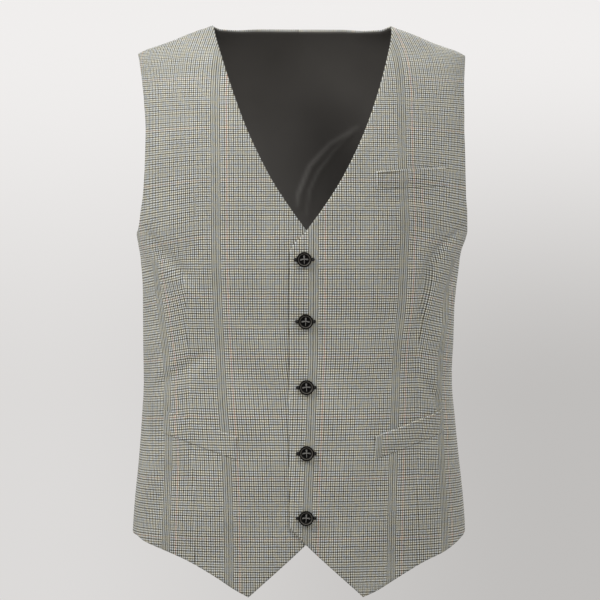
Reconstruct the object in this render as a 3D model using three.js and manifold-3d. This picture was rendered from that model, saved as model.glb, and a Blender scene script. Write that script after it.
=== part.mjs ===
// Suit waistcoat, worn shape with nothing inside: two fronts that button left over right, two backs
// with a dark lining, a breast welt, two hip welts and five buttons.
// Millimetres. +Z is up, the buttons face -Y, +X is the wearer's left. Height 0 is mid shoulder.
import * as THREE from "three";
import { mergeVertices } from "three/addons/utils/BufferGeometryUtils.js";
import Module from "manifold-3d";

// Cloth thicknesses and gaps
const frontWall = 2.0; // check cloth, canvas and facing as one wall
const backWall = 1.6;
const liningWall = 1.0;
const weltWall = 1.8;
const seamGap = 0.3;
const liningGap = 0.6;
const overlapGap = 0.6; // air between the left front and the right front under it

// Fronts
const pointAcross = 66.7; // hem points, measured from the middle line
const overlapFull = 28; // overlap offset is whole up to here, gone at overlapEnd
const overlapEnd = 88;
const armpit = -233; // bottom of the armholes

// Shape of the shoulders: how fast the cloth falls away from the shoulder line
const shoulderFall = 200;
const shoulderPower = 2.6;
const levelPower = 2.4; // fullness of the level sections, 2 is an ellipse

// Level sections of the worn shape, hem to shoulder
const sections = [
  { height: -680, rightHalf: 204.5, leftHalf: 196.5, front: 101, back: 95 },
  { height: -620, rightHalf: 203, leftHalf: 196, front: 103, back: 95.5 },
  { height: -586, rightHalf: 201.8, leftHalf: 195.6, front: 105, back: 96 },
  { height: -550, rightHalf: 199.4, leftHalf: 193.4, front: 107, back: 95 },
  { height: -502, rightHalf: 194.6, leftHalf: 188.3, front: 108, back: 92 },
  { height: -454, rightHalf: 191, leftHalf: 183.4, front: 107, back: 87 },
  { height: -407, rightHalf: 188.6, leftHalf: 179.6, front: 105, back: 83 },
  { height: -360, rightHalf: 189.2, leftHalf: 181.2, front: 106, back: 83 },
  { height: -299, rightHalf: 189.6, leftHalf: 183.2, front: 112, back: 91 },
  { height: -263, rightHalf: 191.9, leftHalf: 188.8, front: 115, back: 97 },
  { height: -233, rightHalf: 197.3, leftHalf: 197.4, front: 117, back: 102 },
  { height: -200, rightHalf: 200, leftHalf: 202.6, front: 118, back: 106 },
  { height: -150, rightHalf: 199, leftHalf: 203.6, front: 117, back: 108 },
  { height: -100, rightHalf: 198, leftHalf: 202.6, front: 114, back: 108 },
  { height: -50, rightHalf: 197.6, leftHalf: 199.6, front: 112, back: 107 },
  { height: 20, rightHalf: 197.5, leftHalf: 197.5, front: 110, back: 105 },
];

// Shoulder line seen from the front; inside the neck it is where the slopes would meet
const shoulderLine = [
  { across: 0, height: 46 },
  { across: 40, height: 40 },
  { across: 80, height: 26 },
  { across: 100, height: 19 },
  { across: 106.5, height: 17 },
  { across: 112, height: 14.6 },
  { across: 124, height: 10.6 },
  { across: 139, height: 4.8 },
  { across: 153, height: -1.2 },
  { across: 169, height: -7 },
  { across: 186, height: -12.9 },
  { across: 194, height: -17 },
  { across: 210, height: -26 },
];

// Top edge of the backs: the back neck, then the shoulder seam
const neckPoint = 106.5;
const backTop = [
  { across: 0, height: 16.5 },
  { across: 50, height: 16 },
  { across: 78, height: 14.6 },
  { across: 96, height: 14.6 },
  { across: 106.5, height: 17 },
];

// Neckline and buttoned edge of a front, measured from the middle line
const neckline = [
  { height: -700, across: -19.4 },
  { height: -262, across: -19.4 },
  { height: -253, across: -18.6 },
  { height: -226, across: 2.8 },
  { height: -198.7, across: 22.4 },
  { height: -171, across: 40.2 },
  { height: -143.5, across: 54.6 },
  { height: -115.7, across: 67.4 },
  { height: -87.7, across: 78 },
  { height: -59.4, across: 87.5 },
  { height: -30, across: 96.1 },
  { height: 3, across: 104.4 },
  { height: 17, across: 106.5 },
  { height: 30, across: 108.5 },
];

// Hem of a front, measured from the middle line, and hem of a back
const frontHem = [
  { across: -40, height: -552.2 },
  { across: -19.4, height: -572 },
  { across: 0, height: -592.4 },
  { across: 66.7, height: -653.7 },
];
const frontHemRise = [
  { across: 66.7, left: -653.9, right: -653.4 },
  { across: 83, left: -646.9, right: -644.5 },
  { across: 101, left: -636.4, right: -632.7 },
  { across: 120, left: -625.5, right: -621.3 },
  { across: 140.7, left: -614.8, right: -610.6 },
  { across: 166, left: -604.8, right: -600.7 },
  { across: 180, left: -597, right: -596 },
  { across: 190, left: -590.4, right: -592.2 },
  { across: 197, left: -586.6, right: -588 },
  { across: 205, left: -586.4, right: -586.4 },
];
const backHem = [
  { across: 0, height: -594 },
  { across: 100, height: -592 },
  { across: 170, height: -588.5 },
  { across: 195, height: -586.6 },
  { across: 205, height: -586.4 },
];

// Armhole edges as bearings from the middle of the front and from the middle of the back
const armhole = [
  { height: -700, front: 93, back: 87 },
  { height: -233, front: 93, back: 87 },
  { height: -231.8, front: 84.5, back: 81 },
  { height: -227.5, front: 76.8, back: 75.5 },
  { height: -218.5, front: 72, back: 71.4 },
  { height: -204, front: 68.4, back: 67.8 },
  { height: -186, front: 66, back: 65.6 },
  { height: -150, front: 64.8, back: 64.6 },
  { height: -110, front: 64.6, back: 65.2 },
  { height: -70, front: 66.4, back: 67.6 },
  { height: -40, front: 69, back: 71.4 },
  { height: -15, front: 73, back: 75 },
  { height: 0, front: 76.6, back: 76.6 },
];

// Rows of every panel, hem to shoulder. hem: share of the hem's own line that the row follows
const levels = [
  { height: -590, hem: 1 },
  { height: -573, hem: 0.74 },
  { height: -553, hem: 0.48 },
  { height: -530, hem: 0.22 },
  { height: -506, hem: 0.05 },
  { height: -480, hem: 0 },
  { height: -454, hem: 0 },
  { height: -428, hem: 0 },
  { height: -402, hem: 0 },
  { height: -376, hem: 0 },
  { height: -350, hem: 0 },
  { height: -324, hem: 0 },
  { height: -300, hem: 0 },
  { height: -280, hem: 0 },
  { height: -262, hem: 0 },
  { height: -247, hem: 0 },
  { height: -233, hem: 0 },
  { height: -231.8, hem: 0 },
  { height: -227.5, hem: 0 },
  { height: -218.5, hem: 0 },
  { height: -204, hem: 0 },
  { height: -186, hem: 0 },
  { height: -165, hem: 0 },
  { height: -142, hem: 0 },
  { height: -119, hem: 0 },
  { height: -97, hem: 0 },
  { height: -77, hem: 0 },
  { height: -59, hem: 0 },
  { height: -42, hem: 0 },
  { height: -28, hem: 0 },
  { height: -16, hem: 0 },
  { height: -8, hem: 0 },
  { height: -2.5, hem: 0 },
  { height: 0, hem: 0 },
];
const hemLevel = -590;
const pointRowShare = 0.5; // rows from this hem share down bend their columns to the hem point
const slopeStart = -150; // rows begin to follow the shoulder line here, fully from slopeWhole
const slopeWhole = -40;

// Columns as shares of the way from the inner edge to the outer edge of a panel
const frontColumns = [
  0, 0.065, 0.13, 0.19, 0.25, 0.315, 0.38, 0.44, 0.5, 0.56, 0.62, 0.68, 0.74, 0.805, 0.87, 0.935, 1,
];
const pointColumn = 4;
const backColumns = [0, 0.11, 0.22, 0.31, 0.37, 0.41, 0.51, 0.61, 0.71, 0.81, 0.905, 1];
const neckColumn = 5;
const liningShort = 0.2; // share of the last column that the lining leaves bare

// Soft folds pressed in (-) or standing out (+): two ends as bearing and height, depth, half width
const folds = [
  { bearing: 88, height: -236, toBearing: 52, toHeight: -335, depth: -3, reach: 13 },
  { bearing: 86, height: -262, toBearing: 60, toHeight: -350, depth: 1.6, reach: 14 },
  { bearing: 46, height: -262, toBearing: 40, toHeight: -555, depth: -1.2, reach: 10 },
  { bearing: 80, height: -388, toBearing: 60, toHeight: -414, depth: -2.2, reach: 12 },
  { bearing: -90, height: -238, toBearing: -66, toHeight: -282, depth: -2.4, reach: 12 },
  { bearing: -46, height: -262, toBearing: -40, toHeight: -555, depth: -1.2, reach: 10 },
  { bearing: -80, height: -408, toBearing: -58, toHeight: -372, depth: -2, reach: 14 },
  { bearing: 126, height: -245, toBearing: 148, toHeight: -360, depth: -2.4, reach: 16 },
  { bearing: -126, height: -245, toBearing: -148, toHeight: -360, depth: -2.4, reach: 16 },
  { bearing: 148, height: -392, toBearing: 180, toHeight: -402, depth: -2, reach: 14 },
  { bearing: -148, height: -392, toBearing: -180, toHeight: -402, depth: -2, reach: 14 },
];
const foldScale = 2.8; // millimetres of cloth for each degree of bearing
const foldEndFade = 0.6; // how much shallower a fold is at its two ends
const foldEndPower = 4;

// Fitting a row's height to the place it crosses: passes, and share of the error taken off in each
const fitPasses = 12;
const fitShare = 0.7;

// Welts: corners on the front as across and height, in the order foot in, foot out, top out, top in
const breastWelt = [
  { across: 80.3, height: -181.5 },
  { across: 164.9, height: -176 },
  { across: 164.9, height: -155.2 },
  { across: 80.3, height: -161.2 },
];
const weltReach = 220; // deeper than the front, so the outline cuts right through
const hipWelt = [
  { across: 80.5, height: -493.2 },
  { across: 164.2, height: -464.7 },
  { across: 164.2, height: -438.2 },
  { across: 80.5, height: -467.2 },
];

// Buttons on the left front
const buttonHoleRadius = 1.15;
const buttonHoleOffset = 3.4;
const buttonHoleTurns = 10;
const buttonLift = 0.7;
const buttonTurns = 32;
const buttonPlaces = [
  { across: -2.9, height: -262.4 },
  { across: -0.9, height: -333.9 },
  { across: 0.2, height: -410.2 },
  { across: 0.2, height: -486.2 },
  { across: -0.2, height: -561.1 },
];
const buttonProfile = [
  [0, 0],
  [6.4, 0],
  [8.1, 0.8],
  [8.75, 1.9],
  [8.5, 2.9],
  [7.7, 3.4],
  [6.7, 3.2],
  [5.9, 2.5],
  [0, 2.3],
];

// Colours
const clothColour = 0x9b9a92;
const liningColour = 0x35332f;
const buttonColour = 0x1d1c1c;

const solid = await Module();
solid.setup();

// Smooth reading of one column of a table
function read(table, key, at, column) {
  const last = table.length - 1;
  if (at <= table[0][key]) return table[0][column];
  if (at >= table[last][key]) return table[last][column];
  let i = 0;
  while (at > table[i + 1][key]) i += 1;
  const step = (k) => (table[k + 1][column] - table[k][column]) / (table[k + 1][key] - table[k][key]);
  const slope = (k) => {
    if (k === 0) return step(0);
    if (k === last) return step(last - 1);
    const before = step(k - 1);
    const after = step(k);
    return before * after <= 0 ? 0 : (2 * before * after) / (before + after);
  };
  const span = table[i + 1][key] - table[i][key];
  const t = (at - table[i][key]) / span;
  const a = table[i][column];
  const b = table[i + 1][column];
  const rise = 3 * t * t - 2 * t * t * t;
  const easeIn = t * (1 - t) * (1 - t);
  const easeOut = t * t * (t - 1);
  return a + (b - a) * rise + span * (slope(i) * easeIn + slope(i + 1) * easeOut);
}

function smooth(from, to, at) {
  const t = Math.min(Math.max((at - from) / (to - from), 0), 1);
  return t * t * (3 - 2 * t);
}

// How far out the shape is below its shoulder line, 0 on the line and 1 well below
function crown(below) {
  const t = Math.min(Math.max(below / shoulderFall, 0), 1);
  return Math.sqrt(1 - Math.pow(1 - t, shoulderPower));
}

function halfWidth(side, height) {
  return read(sections, "height", height, side > 0 ? "leftHalf" : "rightHalf");
}

// Height of every fold at a place on the shape
function foldDepth(bearing, height) {
  let depth = 0;
  for (const fold of folds) {
    const ax = (bearing - fold.bearing) * foldScale;
    const ay = height - fold.height;
    const bx = (fold.toBearing - fold.bearing) * foldScale;
    const by = fold.toHeight - fold.height;
    const t = Math.min(Math.max((ax * bx + ay * by) / (bx * bx + by * by), 0), 1);
    const away = Math.hypot(ax - bx * t, ay - by * t) / fold.reach;
    const taper = 1 - Math.pow(Math.abs(2 * t - 1), foldEndPower) * foldEndFade;
    depth += fold.depth * taper * Math.exp(-away * away);
  }
  return depth;
}

// Point of the worn shape. Bearing 0 is the middle of the front, 90 the wearer's left
function shapePoint(bearing, height) {
  const turn = THREE.MathUtils.degToRad(bearing);
  const s = Math.sin(turn);
  const c = Math.cos(turn);
  const reach = Math.pow(Math.abs(s) ** levelPower + Math.abs(c) ** levelPower, -1 / levelPower);
  const half = halfWidth(s, height);
  const x = half * reach * s;
  const depth = read(sections, "height", height, c > 0 ? "front" : "back");
  const below = read(shoulderLine, "across", Math.abs(x), "height") - height;
  const y = -depth * reach * c * crown(below);
  const out = foldDepth(bearing, height);
  const far = Math.hypot(s / half, c / depth);
  return new THREE.Vector3(x + (out * s) / half / far, y - (out * c) / depth / far, height);
}

// Bearing of the point that is so far across at a height, on the side that the sign gives
function bearingAt(side, across, height) {
  const share = Math.min(Math.abs(across) / halfWidth(side * across, height), 0.9999);
  const rest = Math.pow(1 - share ** levelPower, 1 / levelPower);
  return THREE.MathUtils.radToDeg(Math.atan2(share, rest)) * Math.sign(across || 1);
}

function acrossAt(side, bearing, height) {
  const turn = THREE.MathUtils.degToRad(bearing);
  const s = Math.sin(turn);
  const c = Math.cos(turn);
  const reach = Math.pow(Math.abs(s) ** levelPower + Math.abs(c) ** levelPower, -1 / levelPower);
  return halfWidth(side * s, height) * reach * s;
}

// Height of a row where it is so far across: hem rows follow the hem, top rows the top edge
function rowHeight(level, side, across, hemLine, topLine) {
  const slope = smooth(slopeStart, slopeWhole, level.height);
  return level.height + level.hem * (hemLine(side, across) - hemLevel) + slope * topLine(across);
}

function frontHemLine(side, across) {
  if (across < pointAcross) return read(frontHem, "across", across, "height");
  return read(frontHemRise, "across", across, side > 0 ? "left" : "right");
}

function backHemLine(side, across) {
  return read(backHem, "across", Math.abs(across), "height");
}

function frontTopLine(across) {
  return read(shoulderLine, "across", Math.max(across, neckPoint), "height");
}

function backTopLine(across) {
  if (Math.abs(across) < neckPoint) return read(backTop, "across", Math.abs(across), "height");
  return read(shoulderLine, "across", Math.abs(across), "height");
}

// Outer face of a front: side 1 is the wearer's left. The left front rides over the right
function overlapShift(side, across) {
  const whole = (frontWall + overlapGap) / 2;
  return side * whole * (1 - smooth(overlapFull, overlapEnd, Math.abs(across)));
}

function frontSkin(side, bearing, height) {
  const point = shapePoint(side * bearing, height);
  point.y -= seamGap / 2 + overlapShift(side, side * point.x);
  return point;
}

// Row height and place of one column of a front
function frontGridPoint(side, column, row) {
  const level = levels[row];
  const outer = read(armhole, "height", level.height, "front");
  let height = rowHeight(level, side, level.hem > 0 ? pointAcross : neckPoint, frontHemLine, frontTopLine);
  let bearing = 0;
  for (let pass = 0; pass < fitPasses; pass += 1) {
    const inner = bearingAt(side, read(neckline, "height", height, "across"), height);
    const tip = bearingAt(side, pointAcross, height);
    const share = frontColumns[column];
    const middle = frontColumns[pointColumn];
    const plain = inner + (outer - inner) * share;
    const toPoint = column <= pointColumn
      ? inner + ((tip - inner) * share) / middle
      : tip + ((outer - tip) * (share - middle)) / (1 - middle);
    bearing = plain + (toPoint - plain) * smooth(0, pointRowShare, level.hem);
    const wanted = rowHeight(level, side, acrossAt(side, bearing, height), frontHemLine, frontTopLine);
    height += (wanted - height) * fitShare;
  }
  return frontSkin(side, bearing, height);
}

// Outer face of a back
function backSkin(side, fromBack, height) {
  const point = shapePoint(side * (180 - fromBack), height);
  point.x += (side * seamGap) / 2;
  point.y += seamGap / 2;
  return point;
}

function backGridPoint(side, column, row) {
  const level = levels[row];
  const outer = read(armhole, "height", level.height, "back");
  let height = rowHeight(level, side, neckPoint, backHemLine, backTopLine);
  let bearing = 0;
  for (let pass = 0; pass < fitPasses; pass += 1) {
    const neck = bearingAt(side, neckPoint, height);
    const share = backColumns[column];
    const middle = backColumns[neckColumn];
    const plain = outer * share;
    const toNeck = column <= neckColumn
      ? (neck * share) / middle
      : neck + ((outer - neck) * (share - middle)) / (1 - middle);
    bearing = plain + (toNeck - plain) * smooth(slopeStart, slopeWhole, level.height);
    const wanted = rowHeight(level, side, acrossAt(side, bearing, height), backHemLine, backTopLine);
    height += (wanted - height) * fitShare;
  }
  return backSkin(side, bearing, height);
}

// Outward direction at every point of a grid
function gridNormals(points, holdFlat = () => {}) {
  const columns = points.length;
  const rows = points[0].length;
  const normals = points.map((line, i) => line.map((point, j) => {
    const left = points[Math.max(i - 1, 0)][j];
    const right = points[Math.min(i + 1, columns - 1)][j];
    const low = points[i][Math.max(j - 1, 0)];
    const high = points[i][Math.min(j + 1, rows - 1)];
    const normal = right.clone().sub(left).cross(high.clone().sub(low));
    holdFlat(normal, i, j);
    return normal.normalize();
  }));
  const i = Math.floor(columns / 2);
  const j = Math.floor(rows / 2);
  const outward = normals[i][j].x * points[i][j].x + normals[i][j].y * points[i][j].y;
  if (outward < 0) normals.flat().forEach((normal) => normal.negate());
  return { normals, handed: outward < 0 ? -1 : 1 };
}

// Closed wall between two faces that lie so far out from a grid
function wallFromGrid(points, { normals, handed }, outerFace, innerFace) {
  const columns = points.length;
  const rows = points[0].length;
  const positions = [];
  for (const out of [outerFace, innerFace]) {
    for (let i = 0; i < columns; i += 1) {
      for (let j = 0; j < rows; j += 1) {
        const point = points[i][j].clone().addScaledVector(normals[i][j], out);
        positions.push(point.x, point.y, point.z);
      }
    }
  }
  const outer = (i, j) => i * rows + j;
  const inner = (i, j) => columns * rows + i * rows + j;
  const faces = [];
  const quad = (a, b, c, d) => {
    if (handed > 0) faces.push(a, b, c, a, c, d);
    else faces.push(a, c, b, a, d, c);
  };
  for (let i = 0; i < columns - 1; i += 1) {
    for (let j = 0; j < rows - 1; j += 1) {
      const rising = points[i][j].distanceTo(points[i + 1][j + 1]);
      const falling = points[i + 1][j].distanceTo(points[i][j + 1]);
      if (rising < falling) {
        quad(outer(i, j), outer(i + 1, j), outer(i + 1, j + 1), outer(i, j + 1));
        quad(inner(i, j), inner(i, j + 1), inner(i + 1, j + 1), inner(i + 1, j));
      } else {
        quad(outer(i + 1, j), outer(i + 1, j + 1), outer(i, j + 1), outer(i, j));
        quad(inner(i + 1, j), inner(i, j), inner(i, j + 1), inner(i + 1, j + 1));
      }
    }
    quad(outer(i, 0), inner(i, 0), inner(i + 1, 0), outer(i + 1, 0));
    quad(outer(i + 1, rows - 1), inner(i + 1, rows - 1), inner(i, rows - 1), outer(i, rows - 1));
  }
  for (let j = 0; j < rows - 1; j += 1) {
    quad(outer(0, j + 1), inner(0, j + 1), inner(0, j), outer(0, j));
    quad(outer(columns - 1, j), inner(columns - 1, j), inner(columns - 1, j + 1), outer(columns - 1, j + 1));
  }
  const geometry = new THREE.BufferGeometry();
  geometry.setAttribute("position", new THREE.Float32BufferAttribute(positions, 3));
  geometry.setIndex(faces);
  return geometry;
}

function gridOf(columns, rows, pointOf) {
  return Array.from({ length: columns }, (_, i) => Array.from({ length: rows }, (__, j) => pointOf(i, j)));
}

function frontPanel(side, outerFace = 0, innerFace = -frontWall) {
  const lastRow = levels.length - 1;
  const lastColumn = frontColumns.length - 1;
  const points = gridOf(frontColumns.length, levels.length, (i, j) => frontGridPoint(side, i, j));
  const facing = gridNormals(points, (normal, i, j) => {
    if (j === lastRow) normal.y = 0;
    if (i === lastColumn && levels[j].height <= armpit) normal.y = 0;
  });
  return wallFromGrid(points, facing, outerFace, innerFace);
}

function backPanel(side) {
  const lastRow = levels.length - 1;
  const lastColumn = backColumns.length - 1;
  const points = gridOf(backColumns.length, levels.length, (i, j) => backGridPoint(side, i, j));
  const facing = gridNormals(points, (normal, i, j) => {
    if (j === lastRow && i > neckColumn) normal.y = 0;
    if (i === lastColumn && levels[j].height <= armpit) normal.y = 0;
    if (i === 0) normal.x = 0;
  });
  return wallFromGrid(points, facing, 0, -backWall);
}

// Lining of both backs in one wall: one row short of their top and hem, a little short at the sides
function liningPanel() {
  const half = backColumns.length - 1;
  const whole = gridOf(2 * half + 1, levels.length, (i, j) => {
    const side = i < half ? -1 : 1;
    const point = backGridPoint(side, Math.abs(i - half), j);
    point.x -= (side * seamGap) / 2;
    return point;
  });
  const { normals, handed } = gridNormals(whole);
  const drawIn = (grid, last, next) => {
    grid[last] = grid[last].map((place, j) => place.clone().lerp(grid[next][j], liningShort));
  };
  for (const grid of [whole, normals]) {
    drawIn(grid, 0, 1);
    drawIn(grid, 2 * half, 2 * half - 1);
  }
  const inside = (grid) => grid.map((line) => line.slice(1, -1));
  const outerFace = -(backWall + liningGap);
  return wallFromGrid(inside(whole), { normals: inside(normals), handed }, outerFace, outerFace - liningWall);
}

// Joining and cutting of closed meshes
function toSolid(geometry) {
  const bare = geometry.clone();
  bare.deleteAttribute("normal");
  bare.deleteAttribute("uv");
  const merged = mergeVertices(bare, 1e-4);
  return new solid.Manifold(
    new solid.Mesh({
      numProp: 3,
      vertProperties: new Float32Array(merged.attributes.position.array),
      triVerts: new Uint32Array(merged.index.array),
    }),
  );
}

function toGeometry(body) {
  const mesh = body.getMesh();
  const geometry = new THREE.BufferGeometry();
  geometry.setAttribute("position", new THREE.Float32BufferAttribute(mesh.vertProperties, 3));
  geometry.setIndex(Array.from(mesh.triVerts));
  return geometry;
}

// A welt is the stretch of its front inside four corners, moved out from the front
function welt(side, corners) {
  const outline = corners.map((corner) => new THREE.Vector2(side * corner.across, corner.height));
  const shape = new THREE.Shape(outline);
  const block = new THREE.ExtrudeGeometry(shape, { depth: weltReach, bevelEnabled: false, steps: 1 });
  block.rotateX(Math.PI / 2);
  const strip = frontPanel(side, seamGap + weltWall, seamGap);
  return toGeometry(toSolid(strip).intersect(toSolid(block)));
}

// Sewn button with four thread holes, flat back on the left front
function button(place) {
  const outline = buttonProfile.map(([radius, height]) => new THREE.Vector2(radius, height));
  let body = toSolid(new THREE.LatheGeometry(outline, buttonTurns));
  for (let k = 0; k < 4; k += 1) {
    const turn = (k * Math.PI) / 2;
    const hole = new THREE.CylinderGeometry(buttonHoleRadius, buttonHoleRadius, 12, buttonHoleTurns);
    hole.translate(buttonHoleOffset * Math.cos(turn), 0, buttonHoleOffset * Math.sin(turn));
    body = body.subtract(toSolid(hole));
  }
  const geometry = toGeometry(body);
  const bearing = bearingAt(1, place.across, place.height);
  const spot = frontSkin(1, bearing, place.height);
  const sideways = frontSkin(1, bearing + 1, place.height).sub(spot);
  const upwards = frontSkin(1, bearing, place.height + 1).sub(spot);
  const outward = sideways.cross(upwards).normalize();
  geometry.applyQuaternion(new THREE.Quaternion().setFromUnitVectors(new THREE.Vector3(0, 1, 0), outward));
  spot.addScaledVector(outward, buttonLift);
  geometry.translate(spot.x, spot.y, spot.z);
  return geometry;
}

const group = new THREE.Group();

function addPiece(name, geometry, colour, roughness) {
  const material = new THREE.MeshStandardMaterial({ color: colour, roughness, metalness: 0 });
  const mesh = new THREE.Mesh(geometry, material);
  mesh.name = name;
  group.add(mesh);
}

addPiece("front_left", frontPanel(1), clothColour, 0.9);
addPiece("front_right", frontPanel(-1), clothColour, 0.9);
addPiece("back_left", backPanel(1), clothColour, 0.9);
addPiece("back_right", backPanel(-1), clothColour, 0.9);
addPiece("back_lining", liningPanel(), liningColour, 0.45);
addPiece("breast_welt", welt(1, breastWelt), clothColour, 0.9);
addPiece("hip_welt_left", welt(1, hipWelt), clothColour, 0.9);
addPiece("hip_welt_right", welt(-1, hipWelt), clothColour, 0.9);
for (const [index, place] of buttonPlaces.entries()) {
  addPiece(`button_${index + 1}`, button(place), buttonColour, 0.35);
}

export default group;
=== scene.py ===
import math
import bpy
import numpy as np
from mathutils import Matrix, Vector


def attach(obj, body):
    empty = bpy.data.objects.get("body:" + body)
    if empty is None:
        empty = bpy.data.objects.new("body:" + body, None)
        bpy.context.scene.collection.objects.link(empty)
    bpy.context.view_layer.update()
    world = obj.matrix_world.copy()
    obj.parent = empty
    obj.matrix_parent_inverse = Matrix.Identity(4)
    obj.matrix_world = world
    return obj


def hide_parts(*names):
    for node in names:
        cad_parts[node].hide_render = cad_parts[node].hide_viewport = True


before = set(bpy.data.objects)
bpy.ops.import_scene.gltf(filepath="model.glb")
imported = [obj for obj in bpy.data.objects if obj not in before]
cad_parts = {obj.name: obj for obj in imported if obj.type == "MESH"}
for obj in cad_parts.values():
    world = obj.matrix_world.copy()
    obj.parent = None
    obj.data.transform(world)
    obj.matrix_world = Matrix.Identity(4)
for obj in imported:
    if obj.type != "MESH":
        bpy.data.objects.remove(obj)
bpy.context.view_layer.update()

mm = 0.001  # the tables below are in millimetres

# the worn shape, hem to shoulder

worn = {  # level sections of the worn body, hem to shoulder
    "height": [-680, -620, -586, -550, -502, -454, -407, -360, -299, -263, -233, -200, -150, -100, -50, 20],
    "rightHalf": [204.5, 203, 201.8, 199.4, 194.6, 191, 188.6, 189.2, 189.6, 191.9, 197.3, 200, 199, 198,
                  197.6, 197.5],
    "leftHalf": [196.5, 196, 195.6, 193.4, 188.3, 183.4, 179.6, 181.2, 183.2, 188.8, 197.4, 202.6, 203.6,
                 202.6, 199.6, 197.5],
    "front": [101, 103, 105, 107, 108, 107, 105, 106, 112, 115, 117, 118, 117, 114, 112, 110],
    "back": [95, 95.5, 96, 95, 92, 87, 83, 83, 91, 97, 102, 106, 108, 108, 107, 105],
    "power": 2.4,
    "shoulderFall": 200,
    "shoulderPower": 2.6,
}
shoulder = {
    "across": [0, 40, 80, 100, 106.5, 112, 124, 139, 153, 169, 186, 194, 210],
    "height": [46, 40, 26, 19, 17, 14.6, 10.6, 4.8, -1.2, -7, -12.9, -17, -26],
    "neckPoint": 106.5,
    "slopeStart": -150,
    "slopeWhole": -40,
}
backNeck = {"across": [0, 50, 78, 96, 106.5], "height": [16.5, 16, 14.6, 14.6, 17]}
neckline = {
    "height": [-700, -262, -253, -226, -198.7, -171, -143.5, -115.7, -87.7, -59.4, -30, 3, 17, 30],
    "across": [-19.4, -19.4, -18.6, 2.8, 22.4, 40.2, 54.6, 67.4, 78, 87.5, 96.1, 104.4, 106.5, 108.5],
}
hem = {
    "level": -590,
    "point": 66.7,
    "inner": {"across": [-40, -19.4, 0, 66.7], "height": [-552.2, -572, -592.4, -653.7]},
    "outer": {
        "across": [66.7, 83, 101, 120, 140.7, 166, 180, 190, 197, 205],
        "left": [-653.9, -646.9, -636.4, -625.5, -614.8, -604.8, -597, -590.4, -586.6, -586.4],
        "right": [-653.4, -644.5, -632.7, -621.3, -610.6, -600.7, -596, -592.2, -588, -586.4],
    },
    "back": {"across": [0, 100, 170, 195, 205], "height": [-594, -592, -588.5, -586.6, -586.4]},
}
armhole = {  # bearings of the edges, from the middle of the front and from the middle of the back
    "height": [-700, -233, -231.8, -227.5, -218.5, -204, -186, -150, -110, -70, -40, -15, 0],
    "front": [93, 93, 84.5, 76.8, 72, 68.4, 66, 64.8, 64.6, 66.4, 69, 73, 76.6],
    "back": [87, 87, 81, 75.5, 71.4, 67.8, 65.6, 64.6, 65.2, 67.6, 71.4, 75, 76.6],
}
levels = {  # rows of every panel, with the share of the hem's line that each follows
    "height": [-590, -573, -553, -530, -506, -480, -454, -428, -402, -376, -350, -324, -300, -280, -262,
               -247, -233, -231.8, -227.5, -218.5, -204, -186, -165, -142, -119, -97, -77, -59, -42, -28,
               -16, -8, -2.5, 0],
    "hem": [1, 0.74, 0.48, 0.22, 0.05] + [0] * 29,
    "step": 2.9,
    "edgeStep": 5,
}
frontColumns = {
    "share": [0, 0.065, 0.13, 0.19, 0.25, 0.315, 0.38, 0.44, 0.5, 0.56, 0.62, 0.68, 0.74, 0.805, 0.87,
              0.935, 1],
    "point": 0.25,
    "dart": 0.5,
    "pointRow": 0.5,
    "split": 6,
    "dartSplit": 10,
}
backColumns = {
    "share": [0, 0.11, 0.22, 0.31, 0.37, 0.41, 0.51, 0.61, 0.71, 0.81, 0.905, 1],
    "neck": 0.41,
    "split": 7,
}
cloth = {
    "frontWall": 2.0,
    "backWall": 1.6,
    "liningWall": 1.0,
    "weltEnd": 0.3,
    "seamGap": 0.3,
    "liningGap": 0.6,
    "overlapGap": 0.6,
    "overlapFull": 28,
    "overlapEnd": 88,
    "liningShort": 0.2,
    "liningTopShare": 0.15,
    "neckRise": 1.1,
    "armholeEase": 2.5,
    "neckPaintedLight": [0.2, 0.7],
    "edgeRound": 0.45,
}
bodyFolds = [  # two ends as bearing and height, then depth and reach
    (88, -236, 52, -335, -3, 13),
    (86, -262, 60, -350, 1.6, 14),
    (46, -262, 40, -555, -1.2, 10),
    (80, -388, 60, -414, -2.2, 12),
    (-90, -238, -66, -282, -2.4, 12),
    (-46, -262, -40, -555, -1.2, 10),
    (-80, -408, -58, -372, -2, 14),
    (126, -245, 148, -360, -2.4, 16),
    (-126, -245, -148, -360, -2.4, 16),
    (148, -392, 180, -402, -2, 14),
    (-148, -392, -180, -402, -2, 14),
]
foldScale, foldEndFade, foldEndPower = 2.8, 0.6, 4
fitPasses, fitShare = 14, 0.7


def readColumn(table, key, at, column):
    x = np.asarray(table[key], float)
    y = np.asarray(table[column], float)
    at = np.clip(at, x[0], x[-1])
    i = np.clip(np.searchsorted(x, at) - 1, 0, len(x) - 2)
    step = np.diff(y) / np.diff(x)
    slope = np.concatenate([step[:1], np.zeros(len(x) - 2), step[-1:]])
    product = step[:-1] * step[1:]
    turning = product <= 0
    slope[1:-1] = np.where(turning, 0, 2 * product / np.where(turning, 1, step[:-1] + step[1:]))
    span = x[i + 1] - x[i]
    t = (at - x[i]) / span
    ease = span * t * (1 - t) * ((1 - t) * slope[i] - t * slope[i + 1])
    return y[i] + (y[i + 1] - y[i]) * t * t * (3 - 2 * t) + ease


def smoothStep(low, high, at):
    t = np.clip((at - low) / (high - low), 0, 1)
    return t * t * (3 - 2 * t)


def halfWidth(side, height):
    left = readColumn(worn, "height", height, "leftHalf")
    right = readColumn(worn, "height", height, "rightHalf")
    return np.where(np.asarray(side) > 0, left, right)


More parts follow.
